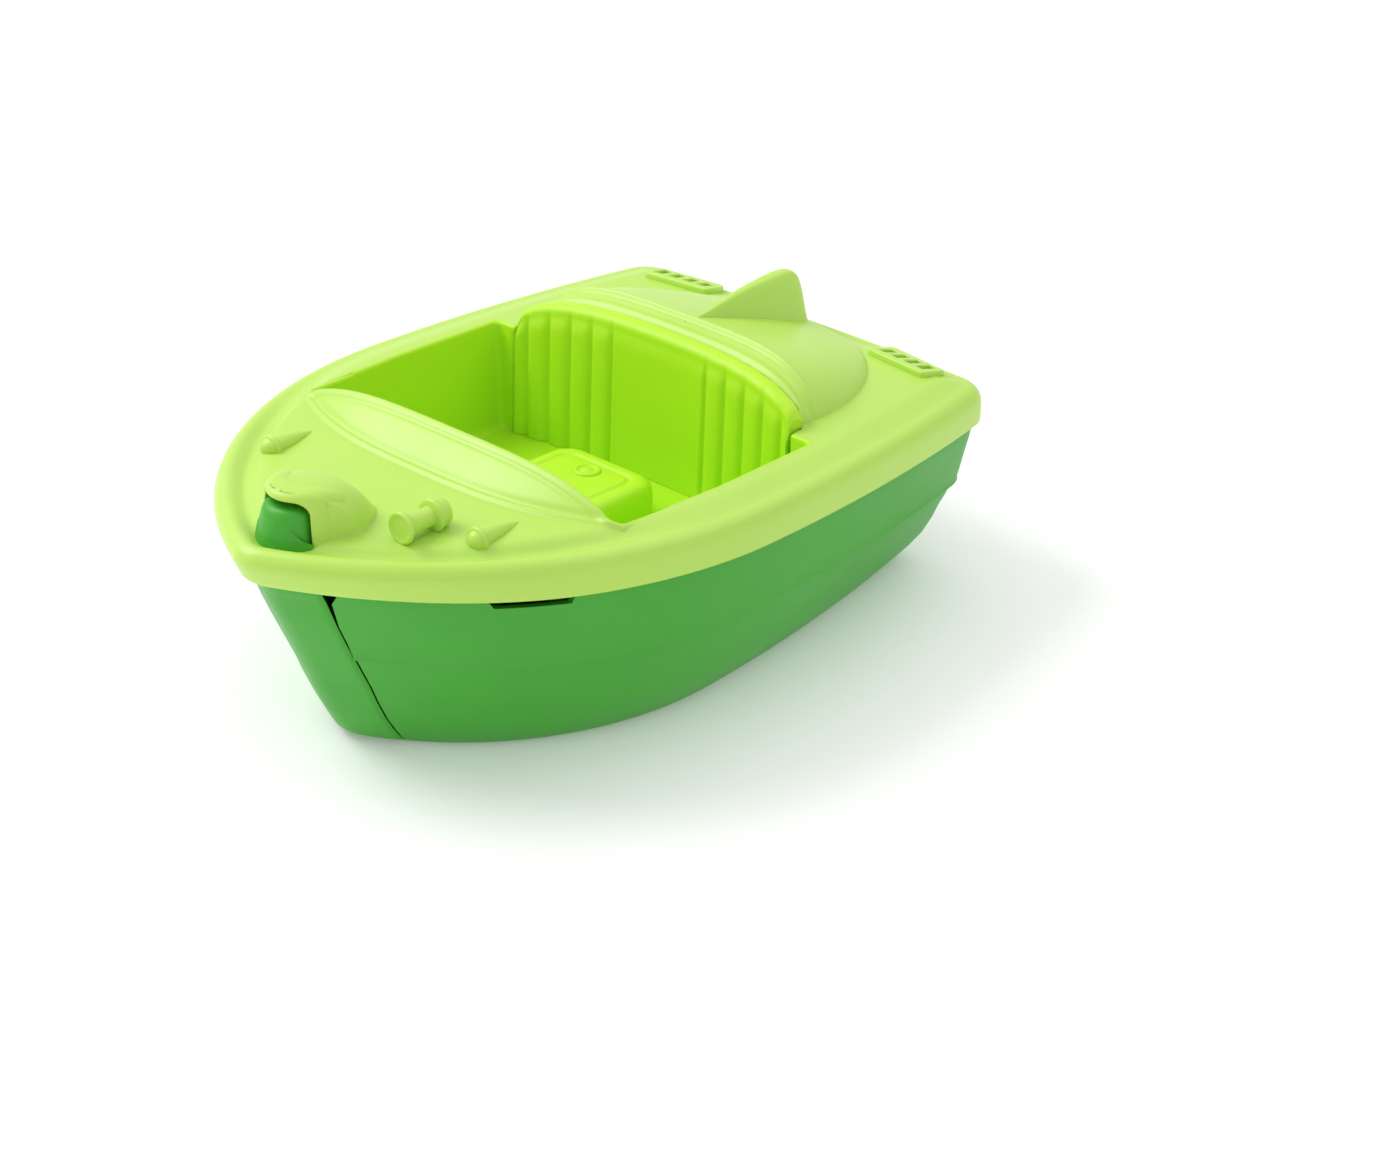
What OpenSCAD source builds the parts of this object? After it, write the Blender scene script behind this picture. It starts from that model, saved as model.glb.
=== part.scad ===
/* [Boat] */
// Overall length of the rim, bow to stern
boat_len = 252; // [220:1:280]
// Overall width of the rim
boat_w = 174; // [150:1:200]
// Height of the deck plane above the floor, amidships
deck_z = 70.5; // [62:0.5:80]
// Rise of the deck toward the bow, in degrees
sheer = 2.75; // [0:0.25:4]

/* [Hull] */
// Thickness of the hull moulding
hull_t = 2.4; // [1.6:0.1:3.5]
// Height of the chine step above the floor
chine_z = 34.5; // [28:0.5:40]
// Depth of the chine step
chine_step = 1.4; // [0.6:0.1:2]
// Width of the flat bottom
bottom_w = 118; // [100:1:130]
// Length of each snap window under the rim
window_len = 25; // [16:1:32]

/* [Rim and deck] */
// Height of the rim skirt
rim_h = 10.6; // [8:0.1:14]
// Thickness of the deck moulding
deck_t = 2.4; // [1.6:0.1:3]
// Rise of the deck above the rim shoulder
crown_h = 2.6; // [1.5:0.1:4]
// Gap between the deck and the hull
seam = 0.35; // [0.3:0.05:0.8]

/* [Cockpit] */
// Width of the cockpit opening
cockpit_w = 136; // [120:1:144]
// Front edge of the cockpit
cockpit_front = -41; // [-48:1:-32]
// Corner where the side walls meet the seat back
cockpit_aft = 43; // [36:1:48]
// Depth of the cockpit floor below the deck plane
floor_depth = 34; // [26:1:36]
// Height of the seat back above the deck plane, at its middle
seat_rise = 17; // [12:0.5:19]
// Number of sewn grooves on each side of the seat back
groove_count = 5; // [2:1:6]

/* [Windshield] */
// Width of the windshield
shield_w = 136; // [110:1:140]
// Height of the windshield above the deck plane
shield_h = 13; // [9:0.5:18]
// How far the windshield is raked forward
shield_rake = 15.5; // [10:0.5:20]

/* [Bow latch] */
// Width of the spring tongue in the stem
tongue_w = 32; // [24:1:36]
// Width of the push button
button_w = 21; // [16:0.5:22]
// Height of the push button
button_h = 15; // [11:0.5:16]
// Gap round the tongue and the button
latch_gap = 0.6; // [0.4:0.1:1]

/* [Engine hatch] */
// Height of the hatch crown above the deck plane
hatch_h = 20; // [15:0.5:22]
// Height of the fin above the deck plane
fin_h = 24; // [22:0.5:28]

/* [Hidden] */

light_green = [0.74, 0.92, 0.40];
tub_green = [0.62, 0.88, 0.22];
deep_green = [0.25, 0.60, 0.25];

half_len = boat_len / 2;
half_w = boat_w / 2;
widest_y = 3;                       // station where the boat is widest
corner_r = 12;                      // nose and stern corner radius in plan
stern_taper = 12;                   // how much each side narrows toward the stern
stern_camber = 1.5;                 // bulge of the stern in plan
slope = tan(sheer);
skirt_z = -rim_h;                   // lower edge of the rim, in the deck's frame
hull_top = skirt_z - seam;          // top edge of the hull, in the deck's frame
tongue_foot_z = 13;                 // height of the living hinge of the tongue
eps = 0.01;
seat_w = 118;                       // width of the seat back
seat_fit = 0.1;                     // clearance round the seat back in its recess
seat_wall_y = 53;                   // aft wall of the seat recess
recess_r = 1.2;                     // corner radius of the space inside the tub
hatch_front = 56.5;                 // front edge of the engine hatch

// ---------- helpers ----------

// Puts children into the sloping frame of the deck.
// The slope turns about the middle of the rim's height.
module on_deck()
    translate([0, 0, deck_z - rim_h / 2]) rotate([-sheer, 0, 0]) translate([0, 0, rim_h / 2])
        children();

// Half of a plan outline on the port side, bow to stern: a rounded nose, one arc
// to the widest station, one arc aft, a rounded corner and a cambered stern.
function half_plan(w, bow, stern, r = corner_r) =
    let (d = widest_y - bow - r,
         rb = (d * d + w * w - r * r) / (2 * (w - r)),
         nose = asin((rb - w) / (rb - r)),
         nose_y = widest_y - (rb - r) * cos(nose),
         l = stern - widest_y,
         ra = (l * l + stern_taper * stern_taper) / (2 * stern_taper),
         aft = asin((stern - r - widest_y) / (ra - r)),
         cx = w - ra + (ra - r) * cos(aft))
    concat(
        [for (i = [0:2]) let (a = nose * i / 3) [r * sin(a), nose_y - r * cos(a)]],
        [for (i = [0:15]) let (a = nose + (90 - nose) * i / 15)
            [w - rb + rb * sin(a), widest_y - rb * cos(a)]],
        [for (i = [1:7]) let (a = aft * i / 7) [w - ra + ra * cos(a), widest_y + ra * sin(a)]],
        [for (i = [1:5]) let (a = aft + (90 - aft) * i / 5)
            [cx + r * cos(a), stern - r + r * sin(a)]],
        [for (i = [1:4]) let (x = cx * (1 - i / 4))
            [x, stern + stern_camber * (1 - pow(x / cx, 2))]]);

// The whole outline, port side then starboard side, in order round the boat.
function plan(w, bow, stern, r = corner_r) =
    let (p = half_plan(w, bow, stern, r), n = len(p))
    concat(p, [for (i = [n - 2:-1:1]) [-p[i][0], p[i][1]]]);

// The rim's own outline, moved inward by inset.
function rim_plan(inset) =
    plan(half_w - inset, -half_len + inset, half_len - inset - stern_camber,
         max(corner_r - inset, 2));

// Corners of a convex polygon rounded with radius r, n steps to each arc.
function rounded(pts, r, n = 6) =
    [for (i = [0:len(pts) - 1])
        let (p = pts[i], a = pts[(i + len(pts) - 1) % len(pts)], b = pts[(i + 1) % len(pts)],
             u = (a - p) / norm(a - p), v = (b - p) / norm(b - p),
             half = acos(u * v) / 2, m = (u + v) / norm(u + v),
             c = p + m * r / sin(half),
             s = atan2((p + u * r / tan(half) - c)[1], (p + u * r / tan(half) - c)[0]),
             e = atan2((p + v * r / tan(half) - c)[1], (p + v * r / tan(half) - c)[0]),
             turn = e - s > 180 ? e - s - 360 : (e - s < -180 ? e - s + 360 : e - s))
        for (k = [0:n]) c + r * [cos(s + turn * k / n), sin(s + turn * k / n)]];

// A closed solid through rings of 3-D points, all with the same number of points
// and running anticlockwise seen from above, listed from bottom to top.
module loft(rings) {
    n = len(rings[0]);
    m = len(rings);
    polyhedron(
        points = [for (ring = rings) for (p = ring) p],
        faces = concat(
            [[for (i = [0:n - 1]) i]],
            [for (j = [0:m - 2]) for (i = [0:n - 1])
                [j * n + i, (j + 1) * n + i, (j + 1) * n + (i + 1) % n, j * n + (i + 1) % n]],
            [[for (i = [n - 1:-1:0]) (m - 1) * n + i]]),
        convexity = 6);
}

// A flat outline lifted to height z.
function lift(pts, z) = [for (p = pts) [p[0], p[1], z]];

// ---------- hull ----------

// One level of the hull: half width, bow and stern at a height that may follow
// the sheer of the deck by the share given.
function hull_ring(z, share, w, bow, stern) =
    [for (p = plan(w, bow, stern)) [p[0], p[1], z - share * slope * p[1]]];

// The hull's outer levels from the floor up, moved inward by t.
function hull_levels(t) =
    let (up = t > 0 ? hull_t : 0, flat = bottom_w / 2,
         top = deck_z + hull_top + (t > 0 ? 1 : 0))
    [hull_ring(up, 0, flat - t, -85 + t, 110 - t),
     hull_ring(up + 1, 0, flat + 2.2 - t, -87 + t, 112.5 - t),
     hull_ring(up + 3.5, 0, flat + 4.8 - t, -90 + t, 115 - t),
     hull_ring(12 + up / 2, 0, flat + 11 - t, -94.5 + t, 118.8 - t),
     hull_ring(chine_z - 10, 0.25, half_w - 12 - t, -100 + t, 120.5 - t),
     hull_ring(chine_z, 0.5, half_w - 6.5 - chine_step - t, -105 + t, 121 - t),
     hull_ring(chine_z + 1, 0.5, half_w - 6.4 - t, -105 - chine_step + t, 121.5 - t),
     hull_ring(top, 1, half_w - 2.2 - t, -119.5 + t, 122.6 - t)];

// The space that the stem tongue takes out of the bow, wider than it by gap.
module stem_slot(gap) {
    translate([-tongue_w / 2 - gap, -half_len - 5, tongue_foot_z - gap])
        cube([tongue_w + 2 * gap, 52, 90]);
}

module boat_hull() {
    color(deep_green)
    difference() {
        loft(hull_levels(0));
        loft(hull_levels(hull_t));
        stem_slot(latch_gap);
        for (side = [-1, 1])
            on_deck()
            translate([side * 63.5, -74.5, hull_top - 1.5])
            rotate([0, 0, side * 54])
            cube([window_len, 20, 3.6], center = true);
    }
}

// ---------- bow latch ----------

button_face_y = -half_len + 9.4;    // the button's lower front edge
button_low = -3;                    // the button's lower edge, in the deck's frame
button_lean = 12;                   // the face leans aft by this angle

// The button: a rounded plate whose face leans aft.
module button() {
    r = 4;
    translate([0, button_face_y, button_low])
    rotate([-button_lean, 0, 0])
    rotate([90, 0, 0])
    mirror([0, 0, 1])
    linear_extrude(6)
    polygon(rounded([[-button_w / 2, 0], [button_w / 2, 0],
                     [button_w / 2 - 2.5, button_h], [-button_w / 2 + 2.5, button_h]], r));
}

module bow_latch() {
    neck_w = button_w - 4;
    color(deep_green) {
        intersection() {
            difference() {
                loft(hull_levels(0));
                loft(hull_levels(hull_t));
            }
            stem_slot(0);
        }
        on_deck() {
            button();
            translate([-neck_w / 2, button_face_y - 1.2, hull_top - 4])
                cube([neck_w, 4.2, 12]);
        }
    }
}

// ---------- deck ----------

// Outer skin of the deck, from the skirt's edge over the shoulder to the flat top.
function deck_levels() =
    [lift(rim_plan(0.4), skirt_z), lift(rim_plan(0), skirt_z + 1), lift(rim_plan(0), -4.2),
     lift(rim_plan(0.9), -2), lift(rim_plan(2.4), -0.4), lift(rim_plan(5), 0.9),
     lift(rim_plan(9), 1.9), lift(rim_plan(13), crown_h)];

// The hollow under the deck.
function deck_hollow() =
    [lift(rim_plan(deck_t), skirt_z - 1), lift(rim_plan(deck_t), -4.2),
     lift(rim_plan(deck_t + 2.6), -2), lift(rim_plan(deck_t + 6), crown_h - deck_t)];

// Outline of the cockpit opening, moved inward by t.
function cockpit_plan(t) =
    let (w = cockpit_w / 2 - t)
    rounded([[-w + 2, cockpit_front + t], [w - 2, cockpit_front + t], [w, 0],
             [w - 1, seat_wall_y + deck_t - t], [-w + 1, seat_wall_y + deck_t - t], [-w, 0]], 4);

// Outline of the space inside the tub: as the opening, with a narrower recess
// aft of the side walls that holds the seat back.
function tub_plan(t) =
    let (w = cockpit_w / 2 - t)
    rounded([[-w + 2, cockpit_front + t], [w - 2, cockpit_front + t], [w, 0],
             [w - 1, cockpit_aft], [seat_w / 2 + seat_fit, cockpit_aft],
             [seat_w / 2 + seat_fit, seat_wall_y], [-seat_w / 2 - seat_fit, seat_wall_y],
             [-seat_w / 2 - seat_fit, cockpit_aft], [-w + 1, cockpit_aft], [-w, 0]], recess_r);

// Base outline of the engine hatch, moved inward by t.
function hatch_plan(t) =
    rounded([[-57 + t, hatch_front + t], [57 - t, hatch_front + t], [56 - t, 80],
             [44 - t, 104 - t], [24 - t, 119 - t], [-24 + t, 119 - t], [-44 + t, 104 - t],
             [-56 + t, 80]], 5);

// Base outline of the hood over the button, moved inward by t.
hood_front = -half_len + 10.5;
function hood_plan(t) =
    rounded([[-19 + t, hood_front], [19 - t, hood_front], [20 - t, -106],
             [8 - t / 2, -80 - t], [-8 + t / 2, -80 - t], [-20 + t, -106]], 4);

module deck() {
    color(light_green)
    on_deck()
    difference() {
        loft(deck_levels());
        loft(deck_hollow());
        translate([0, 0, -5]) linear_extrude(20) polygon(cockpit_plan(0));
        translate([0, 0, -5]) linear_extrude(20) polygon(hatch_plan(3));
        translate([0, 0, -5]) linear_extrude(20) polygon(hood_plan(2.4));
        translate([-button_w / 2 - latch_gap, button_face_y - latch_gap, button_low - 4])
            cube([button_w + 2 * latch_gap, 10, 20]);
    }
}

// The raised hood over the button, open at its front.
module bow_hood() {
    top = crown_h + 13.2;
    color(light_green)
    on_deck()
    difference() {
        loft([lift(hood_plan(0), crown_h), lift(hood_plan(0.6), crown_h + 6),
              lift(hood_plan(2.4), top - 2.2), lift(hood_plan(5.5), top)]);
        loft([lift(hood_plan(2.4), crown_h - 1), lift(hood_plan(2.8), crown_h + 6),
              lift(hood_plan(4.6), top - 3.6), lift(hood_plan(7), top - 2)]);
        translate([-button_w / 2 - latch_gap, hood_front - 10, 0])
            cube([button_w + 2 * latch_gap, 16, button_low + button_h + 1]);
    }
}

// Raised nav light: a lens dome on a ring with a tapering body behind it.
module nav_light(side) {
    r = 4;
    color(light_green)
    on_deck()
    translate([side * 43, -80, crown_h])
    rotate([0, 0, side * 6])
    intersection() {
        union() {
            sphere(r, $fn = 32);
            rotate([-90, 0, 0]) cylinder(h = 2, r = r + 0.7, $fn = 32);
            translate([0, 2, 0]) rotate([-90, 0, 0]) cylinder(h = 18, r1 = r, r2 = 0.8, $fn = 32);
        }
        translate([-10, -10, 0]) cube([20, 40, 10]);
    }
}

// Trumpet horn lying fore and aft beside the hood.
module horn() {
    axis_h = 4.2;
    color(light_green)
    on_deck()
    translate([28, -90, crown_h])
    intersection() {
        translate([0, 0, axis_h]) rotate([-90, 0, 0]) {
            cylinder(h = 2.4, r = 5.2, $fn = 40);
            translate([0, 0, 2.4]) cylinder(h = 7, r1 = 4.2, r2 = 2.2, $fn = 40);
            translate([0, 0, 9.4]) cylinder(h = 2, r = 5, $fn = 40);
            translate([0, 0, 11.4]) cylinder(h = 6, r = 3.4, $fn = 40);
        }
        translate([-10, -5, 0]) cube([20, 40, 20]);
    }
}

// Outline of a vent on the port side, moved outward by grow.
function vent_plan(grow) =
    rounded([[35 - grow, 110 - grow], [60 + grow, 107 - grow], [61 + grow, 115.5 + grow],
             [36.5 - grow, 119.5 + grow]], 1.5);

// Louvred vent: a raised frame with four slots that run fore and aft.
module vent(side) {
    slots = 4;
    color(light_green)
    on_deck()
    translate([0, 0, crown_h])
    mirror([side < 0 ? 1 : 0, 0, 0])
    linear_extrude(1.6)
    difference() {
        polygon(vent_plan(0));
        for (i = [0:slots - 1])
            translate([39.4 + 5.6 * i, 114.4 - 0.75 * i])
            rotate([0, 0, -12])
            square([3.2, 8], center = true);
    }
}

// ---------- windshield ----------

module windshield() {
    stations = 24;
    foot = crown_h;
    back = cockpit_front;
    color(light_green)
    on_deck()
    rotate([90, 0, 90])
    loft([for (i = [0:stations])
        let (u = -1 + 2 * i / stations, x = u * shield_w / 2,
             rake = 1 + shield_rake * (1 - pow(abs(u), 3)),
             rise = 1.2 + (shield_h - foot - 1.2) * (1 - pow(abs(u), 4)))
        [[back - rake - 1.6, foot, x], [back, foot, x], [back, foot + rise, x],
         [back - 2, foot + rise, x], [back - rake - 1.6, foot + 0.8, x]]]);
}

// ---------- cockpit ----------

module cockpit_tub() {
    color(tub_green)
    on_deck()
    difference() {
        loft([lift(cockpit_plan(3), -floor_depth - deck_t), lift(cockpit_plan(2), -floor_depth + 4),
              lift(cockpit_plan(0), -3), lift(cockpit_plan(0), crown_h + 0.6)]);
        loft([lift(tub_plan(3 + deck_t), -floor_depth), lift(tub_plan(2 + deck_t), -floor_depth + 4),
              lift(tub_plan(deck_t), -3), lift(tub_plan(deck_t), crown_h + 1)]);
    }
}

// Distance that the seat's face bows aft at x.
function seat_bow(x) = 5 * (1 - pow(2 * x / seat_w, 2));

// Seat back: a crowned block that fills the recess, its face bowed in plan and
// marked with sewn grooves on both sides of a plain middle panel.
module seat_back() {
    w = seat_w / 2;
    front = cockpit_aft + 0.4;
    back = seat_wall_y - seat_fit;
    low = -floor_depth + seat_fit;
    shoulder = 5;
    groove_r = 1.2;
    pitch = 8.6;
    steps = 16;
    color(tub_green)
    on_deck()
    difference() {
        intersection() {
            translate([0, 0, low]) linear_extrude(60)
                polygon(concat([[w, back - recess_r], [w - recess_r, back],
                                [-w + recess_r, back], [-w, back - recess_r]],
                    [for (i = [0:steps]) let (x = -w + 2 * w * i / steps) [x, front + seat_bow(x)]]));
            translate([0, 80, 0]) rotate([90, 0, 0]) linear_extrude(80)
                polygon(concat([[-w, low], [w, low]],
                    [for (i = [0:steps]) let (u = 1 - 2 * i / steps)
                        [w * u, shoulder
                            + (seat_rise - shoulder) * sqrt(1 - pow(abs(u), 3.5) * 0.98)]]));
        }
        for (side = [-1, 1]) for (i = [0:groove_count - 1])
            let (x = 20 + pitch * i)
            translate([side * x, front + seat_bow(x), low - 1])
            cylinder(h = 60, r = groove_r, $fn = 24);
    }
}

// Console on the cockpit floor, with a shallow panel in its top.
module console() {
    w = 42;
    y0 = -16;
    y1 = 29;
    h = 14;
    corners = [[-w / 2, y0], [w / 2, y0], [w / 2, y1], [-w / 2, y1]];
    color(tub_green)
    on_deck()
    translate([0, 0, -floor_depth])
    difference() {
        loft([lift(rounded(corners, 7), 0), lift(rounded(corners, 7), h - 3),
              lift(rounded([for (c = corners) [c[0] * 0.93, c[1] * 0.93]], 6), h - 0.8),
              lift(rounded([for (c = corners) [c[0] * 0.84, c[1] * 0.84]], 5), h)]);
        translate([0, 10, h - 0.8]) linear_extrude(5)
            polygon(rounded([[-12, -12], [12, -12], [12, 12], [-12, 12]], 3));
    }
}

// ---------- engine hatch and fin ----------

// Height of the hatch crown at a station between its ridge and the stern.
function hatch_top(y) = hatch_h - (y - hatch_front) * 0.24;

// A closed dome over the hatch's base, lowered by drop and moved inward by t.
module hatch_dome(t, drop) {
    levels = 6;
    mid_y = 79;
    loft([for (k = [0:levels]) let (a = 90 * k / levels, in = 1 - cos(a), up = sin(a))
        [for (p = hatch_plan(t))
            let (pull = p[1] > mid_y ? 0.55 : 0.15,
                 x = p[0] * (1 - in * 0.8), y = p[1] + in * (mid_y - p[1]) * pull)
            [x, y, crown_h - drop + up * (hatch_top(y) - crown_h)]]]);
}

module engine_hatch() {
    color(light_green)
    on_deck()
    difference() {
        hatch_dome(0, 0);
        hatch_dome(deck_t, deck_t);
        translate([0, 0, crown_h - 10]) linear_extrude(10 + eps) polygon(hatch_plan(deck_t));
        for (side = [0, 1]) mirror([side, 0, 0])
            linear_extrude(hatch_h) polygon(vent_plan(0.1));
    }
}

// Stabiliser fin: a low wedge that widens aft and ends in a steep rear face.
module tail_fin() {
    color(light_green)
    on_deck()
    difference() {
        hull() {
            translate([0, 62, hatch_top(62) - 1.4]) sphere(1.6, $fn = 24);
            translate([0, 82, fin_h - 2]) sphere(2, $fn = 24);
            translate([0, 107, fin_h - 2.5]) sphere(2.5, $fn = 24);
            for (side = [-1, 1]) translate([side * 5, 113, crown_h + 3]) sphere(2, $fn = 24);
            translate([0, 64, crown_h + 4]) sphere(1.6, $fn = 24);
        }
        hatch_dome(0, 0);
    }
}

// Hook under the stern of the deck that nests inside the transom.
module stern_hook(side) {
    color(light_green)
    on_deck()
    translate([side * 40 - 5, 108, skirt_z - 5]) {
        cube([10, 2.4, 5 + rim_h + crown_h - deck_t]);
        cube([10, 6, 2.4]);
    }
}

boat_hull();
bow_latch();
deck();
bow_hood();
windshield();
cockpit_tub();
seat_back();
console();
engine_hatch();
tail_fin();
nav_light(-1);  // nav_light_starboard
nav_light(1);  // nav_light_port
horn();
vent(-1);  // vent_starboard
vent(1);  // vent_port
stern_hook(-1);  // stern_hook_starboard
stern_hook(1);  // stern_hook_port
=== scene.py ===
"""Looks of the toy boat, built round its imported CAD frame.

Lengths are millimetres. Deck pieces are drawn in the deck's own sloping frame, as in the
design, and place() turns them into metres in the level frame. The hull and the tongue are
drawn level and only scaled.
"""

import math

import bpy
import numpy as np
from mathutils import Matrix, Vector


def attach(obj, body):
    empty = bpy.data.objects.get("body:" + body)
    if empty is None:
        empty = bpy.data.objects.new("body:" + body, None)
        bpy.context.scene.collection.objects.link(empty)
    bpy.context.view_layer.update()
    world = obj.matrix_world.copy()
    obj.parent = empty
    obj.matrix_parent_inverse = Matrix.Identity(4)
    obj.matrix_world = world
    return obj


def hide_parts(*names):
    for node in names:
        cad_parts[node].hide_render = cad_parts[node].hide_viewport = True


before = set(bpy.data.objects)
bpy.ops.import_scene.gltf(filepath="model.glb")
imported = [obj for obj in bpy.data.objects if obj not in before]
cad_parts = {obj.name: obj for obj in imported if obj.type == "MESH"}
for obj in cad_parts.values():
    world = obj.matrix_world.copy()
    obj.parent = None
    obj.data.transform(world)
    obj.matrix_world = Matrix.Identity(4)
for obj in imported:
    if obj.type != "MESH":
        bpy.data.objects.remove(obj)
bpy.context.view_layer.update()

# ---------- driving dimensions, shared with the CAD design ----------

HALF_LEN = 126.0
HALF_W = 87.0
DECK_Z = 70.5
SHEER = math.radians(2.75)
RIM_H = 10.6
WIDEST_Y = 3.0
CORNER_R = 12.0
STERN_TAPER = 12.0
STERN_CAMBER = 1.5
SEAM = 0.35
FLOOR_DEPTH = 34.0
COCKPIT_W = 136.0
COCKPIT_FRONT = -41.0
COCKPIT_AFT = 43.0
SEAT_W = 118.0
SEAT_RISE = 17.0
SEAT_WALL_Y = 53.0
SHIELD_W = 136.0
SHIELD_H = 13.0
SHIELD_RAKE = 15.5
HATCH_H = 20.0
HATCH_HALF_W = 57.0
HATCH_AFT_Y = 62.0              # where the hatch's rounded aft part starts
HATCH_AFT_LEN = 58.0
TONGUE_W = 32.0
CHINE_Z = 34.5
CHINE_STEP = 1.8
BUTTON_W = 21.0
BUTTON_H = 15.0
BUTTON_LOW = -3.0
BUTTON_Y = -HALF_LEN + 9.4
BUTTON_LEAN = math.tan(math.radians(12))

MM = 0.001
GRID = 0.5                      # spacing of the deck's height field
RING_POINTS = 640               # points round the rim
TUB_POINTS = 480                # points round the cockpit
MOUTH_POINTS = 180              # points round the hood's mouth


# ---------- small maths helpers ----------

def place(points):
    """Deck-frame millimetres to level-frame metres."""
    p = np.asarray(points, float)
    x, y, z = p[..., 0], p[..., 1], p[..., 2] + RIM_H / 2
    return np.stack([x, y * math.cos(SHEER) + z * math.sin(SHEER),
                     DECK_Z - RIM_H / 2 - y * math.sin(SHEER) + z * math.cos(SHEER)], -1) * MM


def ease(lo, hi, v):
    """Smooth step from 0 at lo to 1 at hi."""
    t = np.clip((np.asarray(v, float) - lo) / (hi - lo), 0, 1)
    return t * t * (3 - 2 * t)


def blend_max(a, b, k):
    """The larger of a and b, with a fillet about k wide where they cross."""
    h = np.clip(0.5 + 0.5 * (a - b) / k, 0, 1)
    return b + (a - b) * h + k * h * (1 - h)


def resample(points, count):
    """count points spaced evenly along a closed outline."""
    p = np.vstack([points, points[:1]])
    s = np.concatenate([[0], np.cumsum(np.linalg.norm(np.diff(p, axis=0), axis=1))])
    t = np.linspace(0, s[-1], count, endpoint=False)
    return np.stack([np.interp(t, s, p[:, i]) for i in range(p.shape[1])], -1)


def rounded(points, radii, steps=8):
    """A polygon with its corners rounded; radii is one number or one per corner."""
    pts = [np.array(p, float) for p in points]
    radii = radii if isinstance(radii, (list, tuple)) else [radii] * len(pts)
    out = []
    for i, (p, r) in enumerate(zip(pts, radii)):
        u = pts[i - 1] - p
        v = pts[(i + 1) % len(pts)] - p
        u, v = u / np.linalg.norm(u), v / np.linalg.norm(v)
        half = math.acos(np.clip(u @ v, -1, 1)) / 2
        m = (u + v) / np.linalg.norm(u + v)
        c = p + m * r / math.sin(half)
        a = p + u * r / math.tan(half) - c
        b = p + v * r / math.tan(half) - c
        start, turn = math.atan2(a[1], a[0]), math.atan2(b[1], b[0]) - math.atan2(a[1], a[0])
        turn = (turn + math.pi) % (2 * math.pi) - math.pi
        out += [c + r * np.array([math.cos(start + turn * k / steps),
                                  math.sin(start + turn * k / steps)]) for k in range(steps + 1)]
    return np.array(out)


# ---------- plan outline of the boat ----------

def plan_arcs(w, bow, stern, r):
    """Centres and radii of the arcs that make half of the outline."""
    d = WIDEST_Y - bow - r
    rb = (d * d + w * w - r * r) / (2 * (w - r))
    nose = math.asin((rb - w) / (rb - r))
    nose_y = WIDEST_Y - (rb - r) * math.cos(nose)
    length = stern - WIDEST_Y
    ra = (length ** 2 + STERN_TAPER ** 2) / (2 * STERN_TAPER)
    aft = math.asin((stern - r - WIDEST_Y) / (ra - r))
    cx = w - ra + (ra - r) * math.cos(aft)
    return rb, nose, nose_y, ra, aft, cx


def half_plan(w, bow, stern, r=CORNER_R, start_x=0.0):
    """Port half of the outline, bow to stern, from x = start_x."""
    rb, nose, nose_y, ra, aft, cx = plan_arcs(w, bow, stern, r)
    nose_end = r * math.sin(nose)
    pts = []
    if start_x < nose_end:
        a0 = math.asin(start_x / r)
        pts += [(r * math.sin(a), nose_y - r * math.cos(a)) for a in np.linspace(a0, nose, 12)]
        b0 = nose
    else:
        b0 = math.asin((start_x - w + rb) / rb)
        pts.append((start_x, WIDEST_Y - rb * math.cos(b0)))
    pts += [(w - rb + rb * math.sin(a), WIDEST_Y - rb * math.cos(a))
            for a in np.linspace(b0, math.pi / 2, 90)[1:]]
    pts += [(w - ra + ra * math.cos(a), WIDEST_Y + ra * math.sin(a))
            for a in np.linspace(0, aft, 60)[1:]]
    pts += [(cx + r * math.cos(a), stern - r + r * math.sin(a))
            for a in np.linspace(aft, math.pi / 2, 16)[1:]]
    pts += [(x, stern + STERN_CAMBER * (1 - (x / cx) ** 2)) for x in np.linspace(cx, 0, 30)[1:]]
    return np.array(pts)


def rim_plan(inset):
    """The rim's closed outline moved inward, always with RING_POINTS points."""
    r = max(CORNER_R - inset, 2.0)
    half = half_plan(HALF_W - inset, -HALF_LEN + inset, HALF_LEN - inset - STERN_CAMBER, r)
    full = np.vstack([half, half[-2:0:-1] * [-1, 1]])
    return resample(full, RING_POINTS)


RIM_ARCS = plan_arcs(HALF_W, -HALF_LEN, HALF_LEN - STERN_CAMBER, CORNER_R)


def rim_inset(x, y):
    """Distance inward from the rim's outline."""
    rb, nose, nose_y, ra, _, cx = RIM_ARCS
    ax = np.abs(x)
    stern = HALF_LEN - STERN_CAMBER
    side = np.where(y < WIDEST_Y, rb - np.hypot(ax - HALF_W + rb, y - WIDEST_Y),
                    ra - np.hypot(ax - HALF_W + ra, y - WIDEST_Y))
    bow = CORNER_R - np.hypot(ax, y - nose_y)
    in_nose = (y < nose_y) & (ax < (nose_y - y) * math.tan(nose))
    back = stern + STERN_CAMBER * (1 - np.clip(ax / cx, 0, 1) ** 2) - y
    corner = CORNER_R - np.hypot(ax - cx, y - stern + CORNER_R)
    in_corner = (ax > cx) & (y > stern - CORNER_R)
    d = np.minimum(side, back)
    d = np.where(in_nose, bow, d)
    return np.where(in_corner, corner, d)


# ---------- the deck as a height field ----------

def shield_foot(x):
    """Station of the windshield's lower bead at x."""
    return COCKPIT_FRONT - SHIELD_RAKE * (1 - np.clip(np.abs(2 * x / SHIELD_W), 0, 1) ** 3)


def seat_front(x):
    """Station of the seat back's face at x."""
    return COCKPIT_AFT + 0.4 + 5 * (1 - np.clip(2 * x / SEAT_W, -1, 1) ** 2)


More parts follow.
